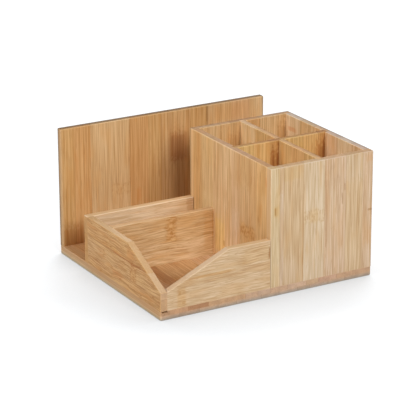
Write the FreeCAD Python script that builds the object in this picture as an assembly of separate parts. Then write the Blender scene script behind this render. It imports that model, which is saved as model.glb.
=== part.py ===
import FreeCAD, Part
import os

# Desk organizer of laminated bamboo boards, open on top, with nothing that moves.
# Lengths are millimetres. X runs left to right, Y front to back and Z up, and the
# origin is the middle of the underside of the base.

# Overall size
WIDTH = 240.0
DEPTH = 214.0

# Base board
BASE_THICKNESS = 9.5
BASE_CORNER_ROUND = 2.0
BASE_BOTTOM_ARRIS = 1.2
BASE_TOP_ARRIS = 0.5

# Back panel, which stands along the rear edge of the base
PANEL_HEIGHT = 125.5
PANEL_THICKNESS = 7.5
PANEL_ARRIS = 1.2

# Pen box, which fills the front right corner
PEN_BOX_WIDTH = 118.0
PEN_BOX_DEPTH = 158.0
PEN_BOX_HEIGHT = 121.5
PEN_WALL = 7.5
PEN_OUTER_ARRIS = 1.2
PEN_INNER_ARRIS = 0.8

# Dividers of the pen box, halved over each other and housed in its walls
DIVIDER_THICKNESS = 6.5
DIVIDER_ARRIS = 0.8
HOUSING_DEPTH = 3.0
HOUSING_CLEARANCE = 0.1

# Note tray and card slot, which fill the front left corner
TRAY_HEIGHT = 49.5
TRAY_BOARD = 7.5
TRAY_ARRIS = 1.0
TRAY_END_GAP = 0.5
SIDE_LOW_HEIGHT = 19.0
SIDE_LEVEL_START = 66.0
FRONT_LOW_HEIGHT = 18.5
FRONT_LEVEL_START = 75.0
CARD_DIVIDER_THICKNESS = 6.5
CARD_SLOT = 34.5

# Open kerf that shows in the base under the front end of the tray's side board
KERF_WIDTH = 6.2
KERF_HEIGHT = 1.7
KERF_LENGTH = 6.0

# Countersunk wood screws, driven up through the base
SCREW_DIAMETER = 2.5
SCREW_HEAD_DIAMETER = 4.7
SCREW_HEAD_HEIGHT = 1.4
SCREW_LENGTH = 25.0
SCREW_POINT = 3.5
SCREW_POINT_DIAMETER = 0.5
SCREW_SINK = 0.3
SCREW_CLEARANCE = 0.1
SCREW_END_DISTANCE = 24.0
RECESS_LENGTH = 2.6
RECESS_WIDTH = 0.7
RECESS_DEPTH = 1.0
PANEL_SCREWS = 4
BOARD_SCREWS = 2

# How far a cutter runs past the face it cuts, and how near an edge counts as being in place
OVERRUN = 5.0
NEAR = 0.001

# Places worked out from the sizes above
LEFT = -WIDTH / 2
RIGHT = WIDTH / 2
FRONT = -DEPTH / 2
BACK = DEPTH / 2
BASE_TOP = BASE_THICKNESS
PANEL_FRONT = BACK - PANEL_THICKNESS
PANEL_TOP = BASE_TOP + PANEL_HEIGHT
PEN_LEFT = RIGHT - PEN_BOX_WIDTH
PEN_BACK = FRONT + PEN_BOX_DEPTH
PEN_TOP = BASE_TOP + PEN_BOX_HEIGHT
PEN_MIDDLE_X = (PEN_LEFT + RIGHT) / 2
PEN_MIDDLE_Y = (FRONT + PEN_BACK) / 2
PEN_INSIDE_LEFT = PEN_LEFT + PEN_WALL
PEN_INSIDE_RIGHT = RIGHT - PEN_WALL
PEN_INSIDE_FRONT = FRONT + PEN_WALL
PEN_INSIDE_BACK = PEN_BACK - PEN_WALL
LAP_LEVEL = BASE_TOP + PEN_BOX_HEIGHT / 2
TRAY_TOP = BASE_TOP + TRAY_HEIGHT
TRAY_INSIDE_LEFT = LEFT + TRAY_BOARD
TRAY_INSIDE_FRONT = FRONT + TRAY_BOARD
TRAY_BACK_FACE = PEN_BACK - TRAY_BOARD
TRAY_RIGHT_END = PEN_LEFT - TRAY_END_GAP
CARD_DIVIDER_BACK = TRAY_BACK_FACE - CARD_SLOT
CARD_DIVIDER_FRONT = CARD_DIVIDER_BACK - CARD_DIVIDER_THICKNESS

os.makedirs("parts", exist_ok=True)


def block(x0, x1, y0, y1, z0, z1):
    """A plain block between three pairs of planes."""
    return Part.makeBox(x1 - x0, y1 - y0, z1 - z0, FreeCAD.Vector(x0, y0, z0))


def prism(points, direction):
    """A flat outline, swept along a direction."""
    outline = Part.makePolygon(points + points[:1])
    return Part.Face(outline).extrude(direction)


def rounded(shape, radius, wanted):
    """Rounds the edges whose bounding boxes the test accepts."""
    return shape.makeFillet(radius, [edge for edge in shape.Edges if wanted(edge.BoundBox)])


def is_upright(box):
    return box.ZLength > NEAR and box.XLength < NEAR and box.YLength < NEAR


def is_level_at(box, height):
    return abs(box.ZMin - height) < NEAR and abs(box.ZMax - height) < NEAR


def runs_along_x(box):
    return box.XLength > NEAR and box.YLength < NEAR


def runs_along_y(box):
    return box.YLength > NEAR and box.XLength < NEAR


def at(value, place):
    return abs(value - place) < NEAR


def spread(start, end, count):
    """Places of screws along a board, set in from both of its ends."""
    first = start + SCREW_END_DISTANCE
    last = end - SCREW_END_DISTANCE
    return [first + (last - first) * step / (count - 1) for step in range(count)]


def screw_places():
    """Where the screws stand, by the board that they hold."""
    panel_y = (PANEL_FRONT + BACK) / 2
    side_x = (LEFT + TRAY_INSIDE_LEFT) / 2
    card_y = (CARD_DIVIDER_FRONT + CARD_DIVIDER_BACK) / 2
    tray_back_y = (TRAY_BACK_FACE + PEN_BACK) / 2
    tray_front_y = (FRONT + TRAY_INSIDE_FRONT) / 2
    pen_back_y = (PEN_INSIDE_BACK + PEN_BACK) / 2
    pen_front_y = (FRONT + PEN_INSIDE_FRONT) / 2
    return {
        "back_panel": [(x, panel_y) for x in spread(LEFT, RIGHT, PANEL_SCREWS)],
        "pen_front_wall": [(x, pen_front_y) for x in spread(PEN_LEFT, RIGHT, BOARD_SCREWS)],
        "pen_back_wall": [(x, pen_back_y) for x in spread(PEN_LEFT, RIGHT, BOARD_SCREWS)],
        "tray_side_board": [(side_x, y) for y in spread(FRONT, TRAY_BACK_FACE, BOARD_SCREWS)],
        "tray_front_board": [
            (x, tray_front_y) for x in spread(TRAY_INSIDE_LEFT, TRAY_RIGHT_END, BOARD_SCREWS)
        ],
        "tray_back_board": [(x, tray_back_y) for x in spread(LEFT, TRAY_RIGHT_END, BOARD_SCREWS)],
        "card_divider": [(x, card_y) for x in spread(TRAY_INSIDE_LEFT, PEN_LEFT, BOARD_SCREWS)],
    }


def screw_body(x, y, grow):
    """The outside of one screw, or of the hole round it where grow is a clearance."""
    up = FreeCAD.Vector(0, 0, 1)
    head_radius = SCREW_HEAD_DIAMETER / 2 + grow
    shank_radius = SCREW_DIAMETER / 2 + grow
    point_radius = SCREW_POINT_DIAMETER / 2 + grow
    shank_start = SCREW_SINK + SCREW_HEAD_HEIGHT
    point_start = SCREW_SINK + SCREW_LENGTH - SCREW_POINT
    head = Part.makeCone(
        head_radius, shank_radius, SCREW_HEAD_HEIGHT, FreeCAD.Vector(x, y, SCREW_SINK), up
    )
    shank = Part.makeCylinder(
        shank_radius, point_start - shank_start, FreeCAD.Vector(x, y, shank_start), up
    )
    point = Part.makeCone(
        shank_radius, point_radius, SCREW_POINT + grow, FreeCAD.Vector(x, y, point_start), up
    )
    return head.fuse([shank, point]).removeSplitter()


def screw(x, y):
    """A wood screw with a cross recess in its countersunk head."""
    half_length = RECESS_LENGTH / 2
    half_width = RECESS_WIDTH / 2
    recess_top = SCREW_SINK + RECESS_DEPTH
    slot_x = block(
        x - half_length, x + half_length, y - half_width, y + half_width, 0, recess_top
    )
    slot_y = block(
        x - half_width, x + half_width, y - half_length, y + half_length, 0, recess_top
    )
    return screw_body(x, y, 0).cut([slot_x, slot_y])


def screw_hole(x, y):
    """The countersunk hole that one screw goes through, open at the underside of the base."""
    mouth = Part.makeCylinder(
        SCREW_HEAD_DIAMETER / 2 + SCREW_CLEARANCE,
        OVERRUN + SCREW_SINK,
        FreeCAD.Vector(x, y, -OVERRUN),
    )
    return screw_body(x, y, SCREW_CLEARANCE).fuse(mouth)


def drilled(name, board):
    """A board with the holes of its own screws."""
    return board.cut([screw_hole(x, y) for x, y in screw_places()[name]])


def base_board():
    """The plate that everything stands on, with eased edges and countersunk holes."""
    board = block(LEFT, RIGHT, FRONT, BACK, 0, BASE_TOP)
    board = rounded(board, BASE_CORNER_ROUND, is_upright)
    board = rounded(board, BASE_BOTTOM_ARRIS, lambda box: is_level_at(box, 0))
    board = rounded(board, BASE_TOP_ARRIS, lambda box: is_level_at(box, BASE_TOP))
    kerf_left = TRAY_INSIDE_LEFT - KERF_WIDTH
    kerf = block(
        kerf_left,
        TRAY_INSIDE_LEFT,
        FRONT - OVERRUN,
        FRONT + KERF_LENGTH,
        BASE_TOP - KERF_HEIGHT,
        BASE_TOP + OVERRUN,
    )
    holes = [screw_hole(x, y) for places in screw_places().values() for x, y in places]
    return board.cut([kerf] + holes)


def back_panel():
    """The tall board that the letters lean against."""
    board = block(LEFT, RIGHT, PANEL_FRONT, BACK, BASE_TOP, PANEL_TOP)
    board = rounded(
        board, PANEL_ARRIS, lambda box: is_upright(box) or is_level_at(box, PANEL_TOP)
    )
    return drilled("back_panel", board)


def pen_box_ring():
    """The four walls of the pen box in one, so that their eased edges meet at the corners."""
    outside = block(PEN_LEFT, RIGHT, FRONT, PEN_BACK, BASE_TOP, PEN_TOP)
    inside = block(
        PEN_INSIDE_LEFT,
        PEN_INSIDE_RIGHT,
        PEN_INSIDE_FRONT,
        PEN_INSIDE_BACK,
        BASE_TOP - OVERRUN,
        PEN_TOP + OVERRUN,
    )

    def is_outer(box):
        across = at(box.XMin, PEN_LEFT) or at(box.XMax, RIGHT)
        along = at(box.YMin, FRONT) or at(box.YMax, PEN_BACK)
        if is_upright(box):
            return across and along
        return is_level_at(box, PEN_TOP)

    def is_inner_top(box):
        within_x = box.XMin > PEN_INSIDE_LEFT - NEAR and box.XMax < PEN_INSIDE_RIGHT + NEAR
        within_y = box.YMin > PEN_INSIDE_FRONT - NEAR and box.YMax < PEN_INSIDE_BACK + NEAR
        return is_level_at(box, PEN_TOP) and within_x and within_y

    solid = rounded(outside, PEN_OUTER_ARRIS, is_outer)
    return rounded(solid.cut(inside), PEN_INNER_ARRIS, is_inner_top)


def pen_walls():
    """The front and back walls lap over the ends of the left and right ones."""
    ring = pen_box_ring()
    bottom = BASE_TOP - OVERRUN
    top = PEN_TOP + OVERRUN
    far_left = PEN_LEFT - OVERRUN
    far_right = RIGHT + OVERRUN
    zones = {
        "pen_front_wall": block(
            far_left, far_right, FRONT - OVERRUN, PEN_INSIDE_FRONT, bottom, top
        ),
        "pen_back_wall": block(
            far_left, far_right, PEN_INSIDE_BACK, PEN_BACK + OVERRUN, bottom, top
        ),
        "pen_left_wall": block(
            far_left, PEN_INSIDE_LEFT, PEN_INSIDE_FRONT, PEN_INSIDE_BACK, bottom, top
        ),
        "pen_right_wall": block(
            PEN_INSIDE_RIGHT, far_right, PEN_INSIDE_FRONT, PEN_INSIDE_BACK, bottom, top
        ),
    }
    housings = [long_divider_blank(HOUSING_CLEARANCE), cross_divider_blank(HOUSING_CLEARANCE)]
    walls = {name: ring.common(zone).cut(housings) for name, zone in zones.items()}
    for name in ("pen_front_wall", "pen_back_wall"):
        walls[name] = drilled(name, walls[name])
    return walls


def long_divider_blank(grow):
    """The front to back divider as a plain block, or its housings where grow is a clearance."""
    half = DIVIDER_THICKNESS / 2 + grow
    headroom = OVERRUN if grow else 0
    return block(
        PEN_MIDDLE_X - half,
        PEN_MIDDLE_X + half,
        PEN_INSIDE_FRONT - HOUSING_DEPTH - grow,
        PEN_INSIDE_BACK + HOUSING_DEPTH + grow,
        BASE_TOP,
        PEN_TOP + headroom,
    )


def cross_divider_blank(grow):
    """The left to right divider as a plain block, or its housings where grow is a clearance."""
    half = DIVIDER_THICKNESS / 2 + grow
    headroom = OVERRUN if grow else 0
    return block(
        PEN_INSIDE_LEFT - HOUSING_DEPTH - grow,
        PEN_INSIDE_RIGHT + HOUSING_DEPTH + grow,
        PEN_MIDDLE_Y - half,
        PEN_MIDDLE_Y + half,
        BASE_TOP,
        PEN_TOP + headroom,
    )


def pen_long_divider():
    """The front to back divider, halved from above, with its edges eased between the walls."""
    blank = long_divider_blank(0)
    eased = rounded(
        blank, DIVIDER_ARRIS, lambda box: runs_along_y(box) and is_level_at(box, PEN_TOP)
    )
    middle = block(LEFT, RIGHT, PEN_INSIDE_FRONT, PEN_INSIDE_BACK, 0, PEN_TOP)
    board = blank.cut(middle).fuse(eased.common(middle)).removeSplitter()
    half = DIVIDER_THICKNESS / 2 + HOUSING_CLEARANCE
    slot = block(
        LEFT, RIGHT, PEN_MIDDLE_Y - half, PEN_MIDDLE_Y + half, LAP_LEVEL, PEN_TOP + OVERRUN
    )
    return board.cut(slot)


def pen_cross_divider():
    """The left to right divider, halved from below, with its edges eased between the walls."""
    blank = cross_divider_blank(0)
    eased = rounded(
        blank, DIVIDER_ARRIS, lambda box: runs_along_x(box) and is_level_at(box, PEN_TOP)
    )
    middle = block(PEN_INSIDE_LEFT, PEN_INSIDE_RIGHT, FRONT, PEN_BACK, 0, PEN_TOP)
    board = blank.cut(middle).fuse(eased.common(middle)).removeSplitter()
    half = DIVIDER_THICKNESS / 2 + HOUSING_CLEARANCE
    slot = block(
        PEN_MIDDLE_X - half,
        PEN_MIDDLE_X + half,
        FRONT,
        PEN_BACK,
        0,
        LAP_LEVEL + HOUSING_CLEARANCE,
    )
    return board.cut(slot)


def is_tray_top(box):
    """Whether an edge belongs to the level or sloping top of a tray board."""
    lowest = BASE_TOP + min(SIDE_LOW_HEIGHT, FRONT_LOW_HEIGHT)
    return box.ZMin > lowest - NEAR


def tray_side_board():
    """The left board of the tray, level at the back and sloping down to the front corner."""
    low = BASE_TOP + SIDE_LOW_HEIGHT
    break_y = FRONT + SIDE_LEVEL_START
    outline = [
        FreeCAD.Vector(LEFT, FRONT, BASE_TOP),
        FreeCAD.Vector(LEFT, TRAY_BACK_FACE, BASE_TOP),
        FreeCAD.Vector(LEFT, TRAY_BACK_FACE, TRAY_TOP),
        FreeCAD.Vector(LEFT, break_y, TRAY_TOP),
        FreeCAD.Vector(LEFT, FRONT, low),
    ]
    board = prism(outline, FreeCAD.Vector(TRAY_BOARD, 0, 0))

    def is_eased(box):
        if is_upright(box):
            return at(box.XMin, LEFT) and at(box.YMin, FRONT)
        return is_tray_top(box) and not (runs_along_x(box) and at(box.ZMin, TRAY_TOP))

    return drilled("tray_side_board", rounded(board, TRAY_ARRIS, is_eased))


def tray_front_board():
    """The front board of the tray, sloping up from the corner to its level part."""
    low = BASE_TOP + FRONT_LOW_HEIGHT
    break_x = LEFT + FRONT_LEVEL_START
    outline = [
        FreeCAD.Vector(TRAY_INSIDE_LEFT, FRONT, BASE_TOP),
        FreeCAD.Vector(TRAY_RIGHT_END, FRONT, BASE_TOP),
        FreeCAD.Vector(TRAY_RIGHT_END, FRONT, TRAY_TOP),
        FreeCAD.Vector(break_x, FRONT, TRAY_TOP),
        FreeCAD.Vector(TRAY_INSIDE_LEFT, FRONT, low),
    ]
    board = prism(outline, FreeCAD.Vector(0, TRAY_BOARD, 0))
    board = rounded(board, TRAY_ARRIS, lambda box: is_tray_top(box) and not runs_along_y(box))
    return drilled("tray_front_board", board)


def tray_back_board():
    """The board between the card slot and the letter slot, lapped over the side board's end."""
    board = block(LEFT, TRAY_RIGHT_END, TRAY_BACK_FACE, PEN_BACK, BASE_TOP, TRAY_TOP)

    def is_eased(box):
        if is_upright(box):
            return at(box.XMin, LEFT) and at(box.YMax, PEN_BACK)
        return is_level_at(box, TRAY_TOP) and not at(box.XMin, TRAY_RIGHT_END)

    return drilled("tray_back_board", rounded(board, TRAY_ARRIS, is_eased))


def card_divider():
    """The board between the note tray and the card slot."""
    board = block(
        TRAY_INSIDE_LEFT, PEN_LEFT, CARD_DIVIDER_FRONT, CARD_DIVIDER_BACK, BASE_TOP, TRAY_TOP
    )
    board = rounded(
        board, DIVIDER_ARRIS, lambda box: runs_along_x(box) and is_level_at(box, TRAY_TOP)
    )
    return drilled("card_divider", board)


def base_screws():
    """All the screws, as separate solids."""
    places = [place for group in screw_places().values() for place in group]
    return Part.makeCompound([screw(x, y) for x, y in places])


parts = {
    "base_board": base_board(),
    "back_panel": back_panel(),
    "pen_long_divider": pen_long_divider(),
    "pen_cross_divider": pen_cross_divider(),
    "tray_side_board": tray_side_board(),
    "tray_front_board": tray_front_board(),
    "tray_back_board": tray_back_board(),
    "card_divider": card_divider(),
    "base_screws": base_screws(),
}
parts.update(pen_walls())

for name, shape in parts.items():
    shape.exportStep(f"parts/{name}.step")
    print(name, "solids", len(shape.Solids), "volume", round(shape.Volume), "mm3", shape.isValid())
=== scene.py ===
import bpy
from mathutils import Matrix, Vector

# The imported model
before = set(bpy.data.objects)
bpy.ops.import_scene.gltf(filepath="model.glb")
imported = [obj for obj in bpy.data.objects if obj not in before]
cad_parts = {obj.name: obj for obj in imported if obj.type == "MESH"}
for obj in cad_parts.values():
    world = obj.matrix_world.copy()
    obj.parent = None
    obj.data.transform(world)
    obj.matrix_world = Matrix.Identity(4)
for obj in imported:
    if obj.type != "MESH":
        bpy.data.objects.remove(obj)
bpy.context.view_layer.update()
scene = bpy.context.scene
X, Y, Z = 0, 1, 2
MM_PER_METRE = 1000.0

# Tones of bamboo strips, as factors on the red, green and blue of a board's own colour
TONES = {
    "plain": (1.00, 1.00, 1.00),
    "pale": (1.06, 1.10, 1.16),
    "cream": (1.02, 1.04, 0.98),
    "lilac": (1.00, 1.00, 1.06),
    "pink": (1.01, 0.97, 1.00),
    "warm": (0.98, 0.94, 0.88),
    "amber": (0.97, 0.91, 0.78),
    "orange": (0.98, 0.87, 0.74),
    "brown": (0.84, 0.76, 0.66),
    "russet": (0.80, 0.64, 0.50),
}

# Shades within a strip, as factors on the strip's tone
SHADES = {
    "dark fibre": (0.80, 0.70, 0.57),
    "pale fibre": (1.16, 1.23, 1.36),
    "ruddy patch": (1.00, 0.84, 0.64),
    "dark streak": (0.76, 0.62, 0.46),
    "pale streak": (1.20, 1.30, 1.46),
    "dash": (0.64, 0.48, 0.33),
    "knot": (0.94, 0.80, 0.60),
    "dark of a knot": (0.76, 0.56, 0.36),
    "pale of a knot": (1.10, 1.12, 1.10),
    "line of a knot": (0.66, 0.50, 0.34),
    "glue line": (0.55, 0.40, 0.27),
    # Sanded paler, and also a painted highlight on eased edges
    "sanded edge and painted highlight": (1.10, 1.20, 1.42),
}

# Shades within end grain, as factors on its ground
PORE = (0.58, 0.50, 0.42)
END_SEAM = (0.60, 0.50, 0.38)
PALE_BLOTCH = (1.10, 1.10, 1.10)
DARK_BLOTCH = (0.93, 0.93, 0.93)

# Knots lie within this range of the origin, along the grain, and their bands sway this much
KNOT_RANGE = 400.0
KNOT_SWAY = 9.0

# Half the width of a saw line between strips. The random numbers of strips side by side
# always differ by more than SEED_STEP.
SEAM_HALF = 0.35
SEED_STEP = 0.002

# Between these cosines a face comes to count as square to an axis
SQUARELY = (0.62, 0.80)


def linear(hex_colour):
    """A colour written as six hexadecimal digits, as linear red, green and blue."""
    parts = [int(hex_colour[i : i + 2], 16) / 255 for i in (0, 2, 4)]
    return tuple(c / 12.92 if c <= 0.04045 else ((c + 0.055) / 1.055) ** 2.4 for c in parts)


class Graph:
    """The nodes of a material or of the world, made by calls that each return an output."""

    def __init__(self, owner):
        owner.use_nodes = True
        self.tree = owner.node_tree
        self.tree.nodes.clear()

    def node(self, kind, **settings):
        made = self.tree.nodes.new(kind)
        for key, value in settings.items():
            setattr(made, key, value)
        return made

    def feed(self, socket, value):
        """Links an output to a socket, or sets the socket to a plain value."""
        if isinstance(value, bpy.types.NodeSocket):
            self.tree.links.new(value, socket)
        else:
            socket.default_value = value

    def fed(self, kind, *values, **settings):
        """The first output of a new node whose first inputs are fed."""
        made = self.node(kind, **settings)
        for socket, value in zip(made.inputs, values):
            self.feed(socket, value)
        return made.outputs[0]

    def math(self, operation, *values, clamp=False):
        return self.fed("ShaderNodeMath", *values, operation=operation, use_clamp=clamp)

    def add(self, a, b):
        return self.math("ADD", a, b)

    def subtract(self, a, b):
        return self.math("SUBTRACT", a, b)

    def times(self, a, b):
        return self.math("MULTIPLY", a, b)

    def distance(self, a, b):
        return self.math("ABSOLUTE", self.subtract(a, b))

    def scaled_sum(self, *pairs):
        """The sum of values, each times its own number."""
        total = self.times(*pairs[0])
        for value, factor in pairs[1:]:
            total = self.math("MULTIPLY_ADD", value, factor, total)
        return total

    def smooth(self, value, low, high):
        """0 at low, 1 at high and a smooth step between, whichever of the two is larger."""
        made = self.node("ShaderNodeMapRange", interpolation_type="SMOOTHSTEP")
        self.feed(made.inputs["Value"], value)
        self.feed(made.inputs["From Min"], low)
        self.feed(made.inputs["From Max"], high)
        return made.outputs["Result"]

    def vector(self, x, y, z):
        return self.fed("ShaderNodeCombineXYZ", x, y, z)

    def split(self, vector):
        made = self.node("ShaderNodeSeparateXYZ")
        self.feed(made.inputs[0], vector)
        return list(made.outputs)

    def coordinates(self):
        """The place on the object, in millimetres, and the surface's normal."""
        made = self.node("ShaderNodeTexCoord")
        scaled = self.node("ShaderNodeVectorMath", operation="SCALE")
        self.feed(scaled.inputs[0], made.outputs["Object"])
        scaled.inputs["Scale"].default_value = MM_PER_METRE
        return scaled.outputs[0], made.outputs["Normal"]

    def noise(self, vector, detail=2.0, roughness=0.5):
        made = self.node("ShaderNodeTexNoise")
        self.feed(made.inputs["Vector"], vector)
        made.inputs["Scale"].default_value = 1.0
        made.inputs["Detail"].default_value = detail
        made.inputs["Roughness"].default_value = roughness
        return made.outputs[0]

    def ramp(self, value, stops):
        """Steps of colour, each from its own position on: stops are (position, colour)."""
        made = self.node("ShaderNodeValToRGB")
        ramp = made.color_ramp
        ramp.interpolation = "CONSTANT"
        while len(ramp.elements) > 1:
            ramp.elements.remove(ramp.elements[0])
        ramp.elements[0].position = stops[0][0]
        ramp.elements[0].color = (*stops[0][1], 1.0)
        for position, colour in stops[1:]:
            ramp.elements.new(position).color = (*colour, 1.0)
        self.feed(made.inputs[0], value)
        return made.outputs[0]

    def mix(self, factor, a, b, blend="MIX"):
        made = self.node("ShaderNodeMix", data_type="RGBA", blend_type=blend)
        self.feed(made.inputs["Factor"], factor)
        for name, value in (("A", a), ("B", b)):
            socket = next(s for s in made.inputs if s.name == name and s.type == "RGBA")
            self.feed(socket, (*value, 1.0) if isinstance(value, tuple) else value)
        return next(s for s in made.outputs if s.type == "RGBA")

    def tint(self, colour, factors, amount=1.0):
        """The colour times the factors, as far as amount says."""
        return self.mix(amount, colour, factors, "MULTIPLY")

    def coloured(self, kind, colour, strength=None):
        """A plain shader of one colour, with its strength where it has one."""
        made = self.node(kind)
        made.inputs["Color"].default_value = (*colour, 1.0)
        if strength is not None:
            self.feed(made.inputs["Strength"], strength)
        return made.outputs[0]

    def surface(self, shader, kind="ShaderNodeOutputMaterial"):
        output = self.node(kind)
        self.feed(output.inputs["Surface"], shader)

    def finish(self, colour, roughness, height, distance, strength, **constants):
        """A principled shader, made the material's surface. distance is the bump's depth in
        metres for a height of 1, strength is how much of it shows, and constants are plain
        numbers for the shader's other sockets.
        """
        bump = self.node("ShaderNodeBump")
        bump.inputs["Strength"].default_value = strength
        bump.inputs["Distance"].default_value = distance
        self.feed(bump.inputs["Height"], height)
        shader = self.node("ShaderNodeBsdfPrincipled")
        self.feed(shader.inputs["Base Color"], colour)
        self.feed(shader.inputs["Roughness"], roughness)
        self.feed(shader.inputs["Normal"], bump.outputs[0])
        for name, value in constants.items():
            shader.inputs[name.replace("_", " ")].default_value = value
        self.surface(shader.outputs[0])


# What a board's bamboo is like where its entry in BOARDS doesn't say
USUAL = {
    "layer": None,
    "knots": (),
    "knotty": 0.6,
    "fibre": 110.0,
    "wander": 0.5,
    "contrast": 1.0,
    "cloudy": 1.0,
    "ruddy": 0.4,
    "seams": 0.3,
    "edge": (1.0, 1.0, 1.0),
    "slope": (1.0, 1.0, 1.0),
    "shaded_rims": (),
    "marks_and_painted_light": (),
    "marked": -1,
}


class Bamboo(Graph):
    """Laminated bamboo for one board. Its entry in BOARDS says, in millimetres:

    tint: the board's own colour.
    along and across: the axes of the grain and of the strips' width.
    start: where the first strip begins.
    strips: each strip's width and tone.
    layer: (height, shift): below that height the strips of a second layer lie shifted sideways.
    knots: (strip, counted from 0, and place along the grain), two a strip at most.
    knotty: how strongly the knots show.
    fibre and wander: the length and the waviness of the grain.
    contrast and cloudy: the strength of the grain, and of the broad changes along a board.
    ruddy and seams: the strength of the redder patches and of the glue lines.
    end, edge and slope: factors on the colour of end grain, narrow edges and sawn slopes.
    rims: outer edges darkened as painted shade: (axis, place, reach, factors on the colour).
    marks: single streaks and stains, and some patches of painted shade and painted light:
    (place along, place across, half length, half width, factors on the colour, amount).
    marked: the side that the marks are on, -1 or 1 along the board's thickness. They leave out
    the opposite face.
    """

    def __init__(self, name, board):
        self.material = bpy.data.materials.new(name)
        super().__init__(self.material)
        self.board = {**USUAL, **board}
        self.along = self.board["along"]
        self.across = self.board["across"]
        self.through = X + Y + Z - self.along - self.across
        place, normal = self.coordinates()
        self.place = self.split(place)
        self.normal = self.split(normal)
        self.grain = self.place[self.along]
        self.width = self.place[self.across]
        self.depth = self.place[self.through]

    def lay_strips(self):
        """Each strip's tone, its own random number, its knots and the saw lines beside it."""
        start, strips, layer = self.board["start"], self.board["strips"], self.board["layer"]
        colour = linear(self.board["tint"])
        strip_width = self.width
        if layer:
            below = self.math("LESS_THAN", self.depth, layer[0])
            strip_width = self.math("MULTIPLY_ADD", below, layer[1], self.width)
        total = sum(width for width, tone in strips)
        tones = []
        facts = []
        begin = 0.0
        for index, (width, tone) in enumerate(strips):
            tones.append((begin / total, tuple(c * f for c, f in zip(colour, TONES[tone]))))
            seed = (index * 0.381966 + start * 0.0137 + total * 0.0071) % 1.0
            found = [at for which, at in self.board["knots"] if which == index]
            found = [(at + KNOT_RANGE) / (2 * KNOT_RANGE) for at in found] + [0.0, 0.0]
            facts.append((begin / total, (seed, found[0], found[1])))
            begin += width
        share = self.math("DIVIDE", self.subtract(strip_width, start), total)
        self.plain = self.ramp(share, tones)
        if layer:
            self.plain = self.mix(self.times(below, 0.7), self.plain, colour)
        self.seed, *self.knots = self.split(self.ramp(share, facts))

        # A saw line runs where two places a little apart lie on different strips
        reach = SEAM_HALF / total
        left_seed = self.split(self.ramp(self.subtract(share, reach), facts))[0]
        right_seed = self.split(self.ramp(self.add(share, reach), facts))[0]
        self.joint = self.math("GREATER_THAN", self.distance(left_seed, right_seed), SEED_STEP)

    def bend_grain(self):
        """The grain wanders a little, and bends in the wavy band that a knot makes."""
        # Each strip has a stretch of the noise to itself
        self.own_grain = self.math("MULTIPLY_ADD", self.seed, 900.0, self.grain)
        self.own_depth = self.math("MULTIPLY_ADD", self.seed, 170.0, self.depth)
        drift = self.noise(self.vector(
            self.times(self.width, 0.020),
            self.times(self.own_depth, 0.020),
            self.times(self.own_grain, 0.028),
        ))
        wave = self.noise(self.vector(
            self.times(self.width, 0.16), self.times(self.own_depth, 0.16), self.seed
        ))

        # A band fades out from 3.5 to 8.5 mm off its middle, and its lines run 5.5 mm off
        offset = self.math("MULTIPLY_ADD", wave, KNOT_SWAY, self.grain)
        bands = []
        lines = []
        for knot in self.knots:
            middle = self.math("MULTIPLY_ADD", knot, 2 * KNOT_RANGE, 0.5 * KNOT_SWAY - KNOT_RANGE)
            gap = self.distance(offset, middle)
            bands.append(self.smooth(gap, 8.5, 3.5))
            lines.append(self.smooth(self.distance(gap, 5.5), 1.4, 0.4))
        self.band = self.math("MAXIMUM", *bands)
        self.line = self.math("MAXIMUM", *lines)

        # The place across the strips as the grain sees it
        bend = self.times(self.band, self.times(self.subtract(wave, 0.5), 5.0))
        wander = 2.0 * self.board["wander"]
        sway = self.math("MULTIPLY_ADD", self.subtract(drift, 0.5), wander, self.width)
        self.side = self.add(sway, bend)

    def drawn_out(self, size, length, detail=2.0, roughness=0.5):
        """Noise whose blobs are size wide and length long, along the grain."""
        place = self.vector(
            self.times(self.side, 1 / size),
            self.times(self.own_depth, 1 / size),
            self.times(self.own_grain, 1 / length),
        )
        return self.noise(place, detail, roughness)

    def shade(self, name):
        return self.tint(self.plain, SHADES[name])

    def lay_over(self, name, amount):
        """Brings the look to one shade of the strip's tone, as far as amount says."""
        self.look = self.mix(amount, self.look, self.shade(name))

    def draw_fibres(self):
        """Fibres and streaks of several sizes, all drawn out along the grain."""
        fibre, contrast, cloudy = (self.board[key] for key in ("fibre", "contrast", "cloudy"))
        self.broad = self.drawn_out(16.0, 70.0)
        patches = self.drawn_out(7.0, 40.0)
        self.coarse = self.drawn_out(4.6, 130.0)
        self.fine = self.drawn_out(1.7, 0.55 * fibre, 2.0, 0.6)
        self.hair = self.drawn_out(0.7, 0.3 * fibre, 1.0)
        value = self.scaled_sum(
            (self.broad, 0.45 * cloudy),
            (self.coarse, 0.45 * cloudy),
            (self.fine, 1.10 * contrast),
            (self.hair, 2.80 * contrast),
        )
        value = self.math("ADD", value, 0.5 - 0.45 * cloudy - 1.95 * contrast, clamp=True)
        self.look = self.mix(value, self.shade("dark fibre"), self.shade("pale fibre"))
        patchy = self.smooth(patches, 0.50, 0.68)
        self.lay_over("ruddy patch", self.times(patchy, self.board["ruddy"]))
        dark = self.smooth(self.drawn_out(1.4, fibre), 0.56, 0.70)
        self.lay_over("dark streak", self.times(dark, 0.60 * contrast))
        pale = self.smooth(self.drawn_out(1.2, 0.8 * fibre), 0.59, 0.72)
        self.lay_over("pale streak", self.times(pale, 0.50 * contrast))
        self.dashes = self.smooth(self.drawn_out(1.0, 0.12 * fibre, 1.0), 0.62, 0.72)
        self.lay_over("dash", self.times(self.dashes, 0.45 * contrast))

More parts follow.
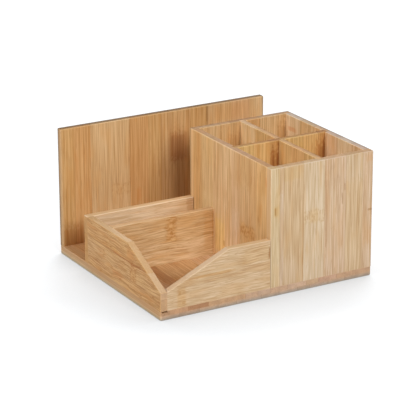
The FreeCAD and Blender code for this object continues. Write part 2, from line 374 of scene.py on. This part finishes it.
    def draw_knots(self):
        """A knot is a mottled band with a broken line along each side."""
        knotty = self.board["knotty"]
        self.mottle = self.drawn_out(1.9, 3.8, 1.0)
        shown = self.times(self.band, knotty)
        self.lay_over("knot", self.times(shown, 0.5))
        self.lay_over("dark of a knot", self.times(shown, self.smooth(self.mottle, 0.50, 0.66)))
        self.lay_over("pale of a knot", self.times(shown, self.smooth(self.mottle, 0.44, 0.30)))
        broken = self.times(self.line, self.smooth(self.mottle, 0.40, 0.55))
        self.lay_over("line of a knot", self.times(broken, 0.25 * knotty))

    def draw_glue_lines(self):
        """Glue lines show here and there along the saw lines."""
        place = self.vector(self.times(self.own_grain, 0.03), 0.0, self.times(self.seed, 30.0))
        seam = self.times(self.joint, self.smooth(self.noise(place, 1.0), 0.40, 0.58))
        self.lay_over("glue line", self.times(seam, self.board["seams"]))

    def draw_marks_and_painted_light(self):
        """Single streaks and stains, and patches of painted shade and painted light, with broken ends.
        """
        ragged = self.times(self.subtract(self.mottle, 0.5), 1.2)
        outward = self.times(self.normal[self.through], self.board["marked"])
        on_side = self.smooth(outward, -0.9, -0.5)
        for middle, beside, length, half, factors, amount in self.board["marks_and_painted_light"]:
            off = self.math("DIVIDE", self.distance(self.grain, middle), length)
            aside = self.math("DIVIDE", self.distance(self.side, beside), half)
            ends = self.smooth(self.add(off, ragged), 1.15, 0.55)
            shape = self.times(self.times(ends, self.smooth(aside, 1.20, 0.60)), on_side)
            self.look = self.tint(self.look, factors, self.times(shape, amount))

    def facing(self, axis, low, high):
        """A smooth step from low to high in how squarely the surface faces along an axis."""
        return self.smooth(self.math("ABSOLUTE", self.normal[axis]), low, high)

    def draw_cut_faces(self):
        """The narrow edges of the strips, then sawn slopes, then sawn ends."""
        edge = self.tint(self.mix(0.5, self.look, self.plain), self.board["edge"])
        self.look = self.mix(self.facing(self.across, *SQUARELY), self.look, edge)
        slantways = self.facing(self.along, 0.15, 0.45)
        self.look = self.tint(self.look, self.board["slope"], slantways)
        self.endways = self.facing(self.along, *SQUARELY)
        self.look = self.mix(self.endways, self.look, self.end_grain())

    def end_grain(self):
        """Dark pores in a greyer ground, where the fibres are cut across."""
        pores = self.node("ShaderNodeTexVoronoi")
        self.feed(pores.inputs["Vector"], self.vector(
            self.times(self.width, 1.05), self.times(self.own_depth, 1.05), self.times(self.seed, 50.0)
        ))
        pores.inputs["Scale"].default_value = 1.0
        self.spots = self.smooth(pores.outputs["Distance"], 0.42, 0.22)
        blotch = self.noise(self.vector(
            self.times(self.width, 0.15), self.times(self.own_depth, 0.15), self.seed
        ))
        ground = self.tint(self.plain, self.board["end"])
        blotches = self.mix(self.smooth(blotch, 0.3, 0.7), PALE_BLOTCH, DARK_BLOTCH)
        cut = self.tint(ground, blotches)
        cut = self.mix(self.times(self.spots, 0.40), cut, self.tint(ground, PORE))
        return self.mix(self.times(self.joint, 0.35), cut, self.tint(ground, END_SEAM))

    def sand_and_shade_edges(self):
        """Eased edges paler, sanded and partly a painted highlight; painted shade beside the listed
        edges.
        """
        squareness = [self.math("ABSOLUTE", part) for part in self.normal]
        flatness = self.math("MAXIMUM", self.math("MAXIMUM", *squareness[:2]), squareness[2])
        # Eased edges: sanded paler, and partly a painted highlight
        eased = self.smooth(flatness, 0.995, 0.90)
        self.lay_over("sanded edge and painted highlight", self.times(eased, 0.50))
        # Painted shade: faces beside each listed outer edge are darkened
        for axis, plane, reach, factors in self.board["shaded_rims"]:
            near = self.smooth(self.distance(self.place[axis], plane), reach, 0.0)
            beside = self.facing(axis, 0.985, 0.90)
            self.look = self.tint(self.look, factors, self.times(near, beside))

    def make(self):
        """The finished material: its colour in stages, then its roughness and bump."""
        self.lay_strips()
        self.bend_grain()
        self.draw_fibres()
        self.draw_knots()
        self.draw_glue_lines()
        self.draw_marks_and_painted_light()
        self.draw_cut_faces()
        self.sand_and_shade_edges()
        roughness = self.scaled_sum(
            (self.fine, 0.16), (self.dashes, 0.10), (self.endways, 0.35), (self.broad, 0.10)
        )
        roughness = self.add(roughness, 0.33)
        relief = self.scaled_sum(
            (self.fine, 0.45), (self.hair, 0.25), (self.coarse, 0.3),
            (self.dashes, -0.45), (self.joint, -0.5), (self.line, 0.3),
        )
        relief = self.math("MULTIPLY_ADD", self.times(self.spots, self.endways), -0.5, relief)
        self.finish(
            self.look, roughness, relief, distance=0.00016, strength=0.55, Specular_IOR_Level=0.20
        )
        return self.material


# One entry for each board, as Bamboo reads it
BOARDS = {
    "base_board": {
        "tint": "C8A27A",
        "along": Y,
        "across": X,
        "start": -120.0,
        "strips": [
            (9, "brown"), (21, "orange"), (22, "russet"), (21, "amber"), (20, "amber"),
            (14, "plain"), (14, "pale"), (20, "plain"), (22, "pale"), (14, "cream"),
            (21, "pink"), (20, "warm"), (22, "warm"),
        ],
        "layer": (4.75, 10.0),
        "knots": [(3, -40.0), (1, 30.0), (4, 80.0), (8, 70.0)],
        "end": (0.89, 0.94, 1.14),
        "edge": (0.98, 1.02, 1.01),
        # Painted shade along the foot of the base's sides, next to the floor
        "shaded_rims": [(Z, 0.0, 5.5, (0.66, 0.86, 1.09))],
        "marks_and_painted_light": [
            (-75.0, -79.0, 42.0, 11.0, (1.12, 1.25, 1.42), 0.8),
            (-62.0, -66.0, 34.0, 5.0, (0.98, 0.88, 0.80), 0.5),
            (75.0, -104.0, 30.0, 18.0, (1.12, 1.12, 1.08), 0.8),
        ],
        "marked": 1,
    },
    "back_panel": {
        "tint": "CBA473",
        "along": Z,
        "across": X,
        "start": -120.0,
        "strips": [
            (15, "amber"), (18, "orange"), (24, "pale"), (21, "pale"), (22, "orange"),
            (15, "amber"), (20, "warm"), (15, "warm"), (20, "amber"), (30, "plain"),
            (22, "pink"), (18, "pale"),
        ],
        "knots": [(3, 61.0)],
        "knotty": 0.35,
        "fibre": 180.0,
        "wander": 0.3,
        "contrast": 0.82,
        "cloudy": 0.7,
        "end": (0.42, 0.38, 0.33),
        "edge": (0.86, 0.88, 0.96),
        # Painted shade along the top's back edge and along both side edges
        "shaded_rims": [
            (Y, 107.0, 6.0, (0.30, 0.30, 0.32)), (X, 120.0, 3.0, (0.40, 0.42, 0.45)),
            (X, -120.0, 2.5, (0.85, 0.85, 0.94)),
        ],
        "marks_and_painted_light": [
            # Painted shade in the letter slot behind the pen box, its darkest column
            (100.0, 14.0, 22.0, 8.0, (0.93, 0.89, 0.86), 0.8),
            # Painted light: a paler band of bounced light beside the pen box's edge
            (58.0, 27.5, 28.0, 4.0, (1.09, 1.09, 1.04), 0.8),
            # Painted shade, the soft left part of the shade in the letter slot
            (56.0, -4.0, 40.0, 15.0, (0.94, 0.88, 0.82), 0.6),
            # Painted shade, the core of the shade in the letter slot
            (96.0, 16.0, 17.0, 11.5, (0.76, 0.60, 0.52), 0.8),
            (125.0, 50.5, 12.0, 0.8, (0.52, 0.44, 0.30), 0.95),
            (124.0, 80.0, 9.0, 22.0, (1.00, 0.90, 0.74), 0.6),
            (51.0, -31.0, 8.0, 3.0, (1.00, 0.84, 0.70), 0.6),
            (95.0, -41.5, 40.0, 0.8, (0.78, 0.66, 0.52), 0.8),
            (95.0, -65.0, 26.0, 0.8, (1.06, 1.10, 1.14), 0.7),
            # Painted shade low in the slot at the left, behind the tray
            (14.0, -108.0, 18.0, 12.0, (0.84, 0.66, 0.50), 0.7),
        ],
    },
    "pen_front_wall": {
        "tint": "C8AF8D",
        "along": Z,
        "across": X,
        "start": 2.0,
        "strips": [
            (10, "cream"), (4, "lilac"), (23, "warm"), (24, "pale"), (25, "pink"),
            (20, "warm"), (12, "pink"),
        ],
        "knots": [(3, 75.0)],
        "knotty": 0.5,
        "fibre": 130.0,
        "wander": 0.3,
        "contrast": 0.80,
        "cloudy": 0.8,
        "end": (0.77, 0.67, 0.57),
        "edge": (1.08, 0.92, 0.82),
        # Painted shade along the right-hand end
        "shaded_rims": [(X, 120.0, 1.2, (0.60, 0.68, 0.85))],
        "marks_and_painted_light": [
            (118.0, 13.0, 16.0, 3.0, (0.91, 0.81, 0.66), 0.8),
            (80.0, 74.0, 26.0, 4.0, (1.08, 1.14, 1.20), 0.8),
            (76.0, 51.5, 8.0, 5.0, (1.00, 0.95, 0.82), 0.6),
            (17.0, 61.0, 14.0, 62.0, (1.01, 1.03, 1.08), 0.5),
            (87.0, 6.8, 4.0, 1.0, (0.72, 0.60, 0.42), 0.8),
            (43.0, 117.0, 9.0, 3.0, (1.00, 0.92, 0.82), 0.7),
            (124.0, 115.0, 4.0, 3.5, (1.00, 0.92, 0.82), 0.7),
            (75.0, 65.5, 42.0, 0.9, (0.80, 0.70, 0.58), 0.7),
            (52.0, 39.0, 34.0, 0.7, (0.92, 0.84, 0.70), 0.7),
            (22.0, 20.0, 18.0, 13.0, (1.04, 1.08, 1.18), 0.7),
            (118.0, 97.0, 16.0, 11.0, (1.02, 1.09, 1.22), 0.7),
            (85.0, 111.5, 45.0, 1.8, (0.94, 0.88, 0.78), 0.6),
            (87.0, 8.0, 6.0, 3.0, (0.96, 0.86, 0.64), 0.7),
            (70.5, 118.0, 1.2, 4.0, (0.70, 0.58, 0.44), 0.8),
            (87.0, 84.0, 6.0, 0.7, (0.68, 0.56, 0.42), 0.8),
            (99.0, 86.5, 4.0, 1.2, (0.84, 0.76, 0.66), 0.8),
            (123.0, 26.0, 8.0, 12.0, (0.98, 0.94, 0.80), 0.7),
            (60.0, 38.8, 60.0, 0.8, (0.90, 0.82, 0.70), 0.5),
            (100.0, 63.5, 26.0, 0.8, (0.82, 0.74, 0.62), 0.7),
            (88.0, 77.0, 18.0, 0.7, (0.86, 0.76, 0.62), 0.6),
            (56.0, 85.0, 22.0, 0.8, (0.84, 0.74, 0.60), 0.6),
        ],
    },
    "pen_left_wall": {
        "tint": "D8B282",
        "along": Z,
        "across": Y,
        "start": -99.5,
        "strips": [
            (20.5, "amber"), (12, "warm"), (18, "plain"), (15, "lilac"), (19, "pale"),
            (18, "plain"), (23, "cream"), (17.5, "amber"),
        ],
        "knots": [(1, 55.0), (2, 54.0)],
        "knotty": 0.85,
        "fibre": 180.0,
        "wander": 0.3,
        "contrast": 1.12,
        "end": (0.59, 0.53, 0.55),
        "marks_and_painted_light": [
            (114.0, 36.0, 24.0, 18.0, (0.94, 0.91, 0.87), 0.8),
            (54.0, 4.0, 20.0, 30.0, (1.06, 1.11, 1.15), 0.8),
            (58.0, -44.0, 18.0, 14.0, (1.04, 1.07, 1.12), 0.6),
            (48.0, -63.0, 15.0, 14.0, (0.94, 0.86, 0.70), 0.7),
            (79.0, -86.0, 12.0, 5.0, (0.93, 0.84, 0.72), 0.7),
            (85.0, 38.0, 34.0, 8.0, (0.98, 0.92, 0.83), 0.7),
            (115.0, -98.0, 5.0, 2.5, (1.02, 0.88, 0.78), 0.8),
            (112.0, -92.0, 14.0, 5.0, (0.98, 0.94, 0.82), 0.6),
            (34.0, -9.5, 20.0, 10.5, (1.07, 1.09, 0.80), 0.75),
            (27.5, -18.0, 3.0, 1.6, (0.70, 0.58, 0.40), 0.7),
            (45.0, -38.0, 26.0, 9.0, (1.05, 1.12, 1.26), 0.7),
            (116.0, -54.0, 22.0, 20.0, (0.93, 0.88, 0.78), 0.8),
            (90.0, 14.0, 18.0, 10.0, (0.93, 0.90, 0.90), 0.6),
        ],
    },
    "pen_right_wall": {
        "tint": "DCBA8D",
        "along": Z,
        "across": Y,
        "start": -99.5,
        "strips": [
            (22, "pink"), (23, "pale"), (23, "pink"), (21, "orange"), (26, "amber"), (28, "pale"),
        ],
        "knots": [(1, 60.0)],
        "fibre": 180.0,
        "end": (0.63, 0.69, 0.93),
        # Painted shade along the outer right-hand edge
        "shaded_rims": [(X, 120.0, 4.0, (0.34, 0.32, 0.32))],
        "marks_and_painted_light": [
            (117.0, 31.0, 2.5, 8.0, (0.92, 0.70, 0.58), 0.8),
        ],
    },
    "pen_back_wall": {
        "tint": "D8B483",
        "along": Z,
        "across": X,
        "start": 2.0,
        "strips": [
            (12, "warm"), (20, "plain"), (12, "warm"), (13, "brown"), (22, "orange"),
            (20, "plain"), (19, "warm"),
        ],
        "knots": [(1, 60.0), (4, 110.0)],
        "fibre": 180.0,
        "end": (0.61, 0.56, 0.58),
        "edge": (1.10, 1.10, 1.16),
        # Painted shade along the back and right-hand edges
        "shaded_rims": [(Y, 51.0, 5.0, (0.46, 0.44, 0.40)), (X, 120.0, 3.0, (0.42, 0.44, 0.50))],
        "marks_and_painted_light": [
            # Painted shade in the right-hand corners of the back compartments
            (104.0, 106.0, 20.0, 5.0, (0.76, 0.64, 0.52), 0.7),
            (104.0, 50.0, 16.0, 7.0, (0.84, 0.72, 0.60), 0.6),
            # Painted shade as dark lines along those corners
            (90.0, 57.6, 41.0, 0.9, (0.50, 0.42, 0.32), 0.8),
            (90.0, 112.0, 41.0, 1.4, (0.60, 0.50, 0.40), 0.8),
            (100.0, 44.0, 31.0, 0.7, (0.80, 0.66, 0.52), 0.8),
            (100.0, 35.0, 31.0, 0.7, (0.82, 0.70, 0.56), 0.8),
        ],
    },
    "pen_long_divider": {
        "tint": "DDB884",
        "along": Z,
        "across": Y,
        "start": -102.5,
        "strips": [
            (24, "amber"), (24, "orange"), (23, "amber"), (22, "orange"), (23, "amber"),
            (36, "pale"),
        ],
        "knots": [(1, 60.0)],
        "fibre": 180.0,
        "end": (0.71, 0.68, 0.77),
        # Painted shade on the divider's top, deepest along its middle
        "shaded_rims": [(X, 64.25, 4.0, (0.66, 0.58, 0.50))],
    },
    "pen_cross_divider": {
        "tint": "DDBB83",
        "along": Z,
        "across": X,
        "start": 2.0,
        # The two russet strips lie in the right-hand corners of the front compartments: painted shade
        "strips": [
            (26, "amber"), (19, "orange"), (13, "russet"), (26, "amber"), (18, "orange"),
            (16, "russet"),
        ],
        "knots": [(3, 60.0)],
        "fibre": 180.0,
        "contrast": 0.85,
        "end": (0.58, 0.50, 0.45),
        # Painted shade on the divider's top, deepest along its middle
        "shaded_rims": [(Y, -24.75, 5.0, (0.72, 0.62, 0.45))],
        "marks_and_painted_light": [
            # Painted shade in the right-hand corners of the front compartments
            (98.0, 53.0, 26.0, 6.0, (0.70, 0.53, 0.41), 0.8),
            (98.0, 106.5, 26.0, 6.5, (0.70, 0.53, 0.41), 0.8),
            (100.0, 51.0, 34.0, 0.8, (0.66, 0.50, 0.36), 0.8),
            # Painted shade as dark lines along those corners
            (95.0, 57.0, 40.0, 1.2, (0.62, 0.46, 0.34), 0.8),
            (95.0, 111.5, 40.0, 2.0, (0.64, 0.50, 0.38), 0.8),
        ],
    },
    "tray_side_board": {
        "tint": "BE9460",
        "along": Y,
        "across": Z,
        "start": 9.5,
        "strips": [(11.5, "warm"), (19, "plain"), (19, "amber")],
        "knots": [(1, -53.0)],
        "knotty": 1.0,
        "fibre": 70.0,
        "wander": 3.0,
        "contrast": 1.7,
        "ruddy": 0.8,
        "seams": 0.9,
        "end": (1.05, 1.16, 1.67),
        "edge": (1.09, 1.34, 2.10),
        "slope": (0.90, 0.88, 0.94),
        "marks_and_painted_light": [
            (-88.0, 34.0, 14.0, 3.0, (0.93, 0.87, 0.82), 0.7),
            (-10.0, 56.5, 50.0, 2.5, (1.05, 1.10, 1.18), 0.6),
            (-40.0, 40.5, 40.0, 1.0, (0.80, 0.60, 0.38), 0.95),
            (-48.0, 49.0, 8.0, 6.0, (1.00, 0.82, 0.60), 0.6),
            (-20.0, 19.0, 12.0, 5.0, (1.00, 0.84, 0.66), 0.6),
            (10.0, 41.0, 38.0, 5.0, (1.02, 1.00, 0.86), 0.6),
        ],
    },
    "tray_front_board": {
        "tint": "C5A781",
        "along": X,
        "across": Z,
        "start": 9.5,
        "strips": [(19.5, "pale"), (9, "plain"), (21, "pale")],
        "fibre": 55.0,
        "wander": 1.5,
        "contrast": 0.82,
        "cloudy": 0.35,
        "ruddy": 0.3,
        "end": (0.85, 0.85, 0.85),
        "edge": (1.05, 0.99, 0.90),
        "slope": (0.76, 0.64, 0.53),
        "marks_and_painted_light": [
            (-62.0, 37.0, 26.0, 1.6, (0.98, 0.87, 0.68), 0.9),
            (-97.0, 20.0, 5.0, 12.0, (0.97, 0.88, 0.72), 0.8),
            (-101.0, 20.0, 12.0, 12.0, (0.98, 0.94, 0.90), 0.6),
            (-95.0, 14.0, 2.0, 1.6, (0.78, 0.64, 0.44), 0.6),
            (-99.0, 24.0, 1.6, 2.0, (0.82, 0.68, 0.48), 0.6),
            (-14.0, 47.0, 18.0, 8.0, (0.96, 0.90, 0.79), 0.8),
            (0.8, 46.0, 1.2, 6.0, (0.66, 0.50, 0.34), 0.8),
        ],
    },
    "tray_back_board": {
        "tint": "E3C7A1",
        "along": X,
        "across": Z,
        "start": 9.5,
        "strips": [(12, "plain"), (19, "warm"), (18.5, "plain")],
        "fibre": 80.0,
        "wander": 1.5,
        "contrast": 0.6,
        "end": (0.67, 0.50, 0.32),
        "edge": (0.86, 0.78, 0.68),
        "marks_and_painted_light": [
            (-20.0, 55.0, 26.0, 4.0, (0.95, 0.89, 0.80), 0.7),
            (-1.5, 49.0, 5.0, 12.0, (0.80, 0.70, 0.60), 0.8),
        ],
    },
    "card_divider": {
        "tint": "D3B387",
        "along": X,
        "across": Z,
        "start": 9.5,
        "strips": [(22.5, "plain"), (27, "warm")],
        "knots": [(1, -47.0)],
        "knotty": 0.85,
        "fibre": 60.0,
        "wander": 2.5,
        "contrast": 0.90,
        "cloudy": 0.4,
        "ruddy": 0.5,
        "end": (0.80, 0.80, 0.80),
        "edge": (0.87, 0.81, 0.80),
        "marks_and_painted_light": [
            (-47.0, 44.0, 6.0, 11.0, (0.94, 0.80, 0.60), 0.4),
            # Painted shade at the end against the pen box, with a dark line along that corner
            (-4.0, 36.0, 6.0, 24.0, (0.98, 0.85, 0.68), 0.6),
            (1.2, 34.0, 1.2, 26.0, (0.88, 0.73, 0.56), 0.7),
            (-60.0, 24.5, 24.0, 0.8, (0.80, 0.68, 0.50), 0.8),
            (-25.0, 17.0, 34.0, 11.0, (0.94, 0.92, 0.92), 0.7),
        ],
    },
}


def steel(name):
    """Zinc-plated steel with a faint turned grain."""
    material = bpy.data.materials.new(name)
    g = Graph(material)
    place = g.coordinates()[0]
    cloud = g.noise(place, 3.0)
    stretched = g.fed("ShaderNodeVectorMath", place, (9.0, 1.5, 9.0), operation="MULTIPLY")
    brushed = g.noise(stretched)
    colour = g.mix(cloud, (0.36, 0.36, 0.34), (0.58, 0.57, 0.53))
    roughness = g.add(g.scaled_sum((cloud, 0.15), (brushed, 0.15)), 0.20)
    g.finish(colour, roughness, brushed, distance=0.00004, strength=0.4, Metallic=1.0)
    return material


def dress(node, material):
    """Gives every material slot of a CAD node the material."""
    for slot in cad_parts[node].material_slots:
        slot.material = material


for name, board in BOARDS.items():
    dress(name, Bamboo(name + "_bamboo", board).make())
dress("base_screws", steel("zinc_steel"))


def seen_directly(g):
    """1 for a ray from the camera, off a glossy surface or through glass, else 0."""
    path = g.node("ShaderNodeLightPath")
    seen = path.outputs["Is Camera Ray"]
    for other in ("Is Glossy Ray", "Is Transmission Ray"):
        seen = g.math("MAXIMUM", seen, path.outputs[other])
    return seen


WHITE = (1.0, 1.0, 1.0)

# The floor
FLOOR_HALF = 6.0
floor_mesh = bpy.data.meshes.new("floor")
floor_mesh.from_pydata(
    [(a * FLOOR_HALF, b * FLOOR_HALF, 0.0) for a, b in ((-1, -1), (1, -1), (1, 1), (-1, 1))],
    [],
    [(0, 1, 2, 3)],
)
floor = bpy.data.objects.new("floor", floor_mesh)
scene.collection.objects.link(floor)

# It is matt white, lifted for the camera so that only the object's shadow shows on it. An occlusion
# test tilted towards the light behind the object lowers that lift near the object, a painted shade,
# deepest where the object stands between the floor and that light
FLOOR_WHITE = (0.80, 0.80, 0.80)
FLOOR_SHADED = (0.285, 0.300, 0.315)
TOWARDS_BACK_LIGHT = (0.55, 0.55, 0.63)
SHADE_REACH = 0.090
LEAST_LIFT, MOST_LIFT = 0.32, 0.79
paper = bpy.data.materials.new("floor_paper")
g = Graph(paper)
# Painted shade: the lift fades where this occlusion test finds the object close by
nearby = g.node("ShaderNodeAmbientOcclusion", samples=16)
nearby.inputs["Distance"].default_value = SHADE_REACH
g.feed(nearby.inputs["Normal"], g.vector(*TOWARDS_BACK_LIGHT))
level = g.node("ShaderNodeMapRange")
level.inputs["To Min"].default_value = LEAST_LIFT
level.inputs["To Max"].default_value = MOST_LIFT
g.feed(level.inputs["Value"], nearby.outputs["AO"])
matt = g.coloured("ShaderNodeBsdfDiffuse", FLOOR_WHITE)
shaded = g.coloured("ShaderNodeBsdfDiffuse", FLOOR_SHADED)
lift = g.coloured("ShaderNodeEmission", WHITE, level.outputs["Result"])
shown = g.fed("ShaderNodeAddShader", shaded, lift)
g.surface(g.fed("ShaderNodeMixShader", seen_directly(g), matt, shown))
floor_mesh.materials.append(paper)

# The world: white to look at, and a faint even light on the object
WORLD_LIGHT = 0.02
world = bpy.data.worlds.new("studio")
scene.world = world
g = Graph(world)
soft = g.coloured("ShaderNodeBackground", WHITE, WORLD_LIGHT)
white = g.coloured("ShaderNodeBackground", WHITE, 1.0)
g.surface(g.fed("ShaderNodeMixShader", seen_directly(g), soft, white), "ShaderNodeOutputWorld")

# Soft boxes: name, place, size and power
SOFT_BOXES = [
    ("front_light", (0.0, -1.884, 1.369), 1.00, 36.5),
    ("front_left_light", (-0.942, -1.632, 1.369), 1.00, 5.0),
    ("left_light", (-1.884, 0.0, 1.369), 1.00, 32.0),
    ("back_light", (1.250, 1.490, 1.250), 1.40, 32.0),
]
AIM = Vector((0.0, 0.0, 0.05))
for name, place, size, power in SOFT_BOXES:
    data = bpy.data.lights.new(name, "AREA")
    data.shape = "SQUARE"
    data.size = size
    data.energy = power
    lamp = bpy.data.objects.new(name, data)
    lamp.location = place
    lamp.rotation_euler = (AIM - Vector(place)).to_track_quat("-Z", "Y").to_euler()
    scene.collection.objects.link(lamp)

# The camera, as fitted to the edges of the boards in the photograph
CAMERA_PLACE = (-0.97777, -1.68281, 0.74243)
CAMERA_RIGHT = Vector((0.86728837, -0.49778720, -0.00433424))
CAMERA_UP = Vector((0.16638619, 0.28166463, 0.94497654))
CAMERA_BACK = Vector((-0.46917643, -0.82028832, 0.32710938))
camera_data = bpy.data.cameras.new("camera")
camera_data.sensor_width = 36.0
camera_data.lens = 184.43
camera_data.clip_start = 0.05
camera_data.clip_end = 50.0
camera = bpy.data.objects.new("camera", camera_data)
turn = Matrix((CAMERA_RIGHT, CAMERA_UP, CAMERA_BACK)).transposed().to_4x4()
camera.matrix_world = Matrix.Translation(CAMERA_PLACE) @ turn
scene.collection.objects.link(camera)
scene.camera = camera

scene.view_settings.view_transform = "Standard"

bpy.context.view_layer.update()
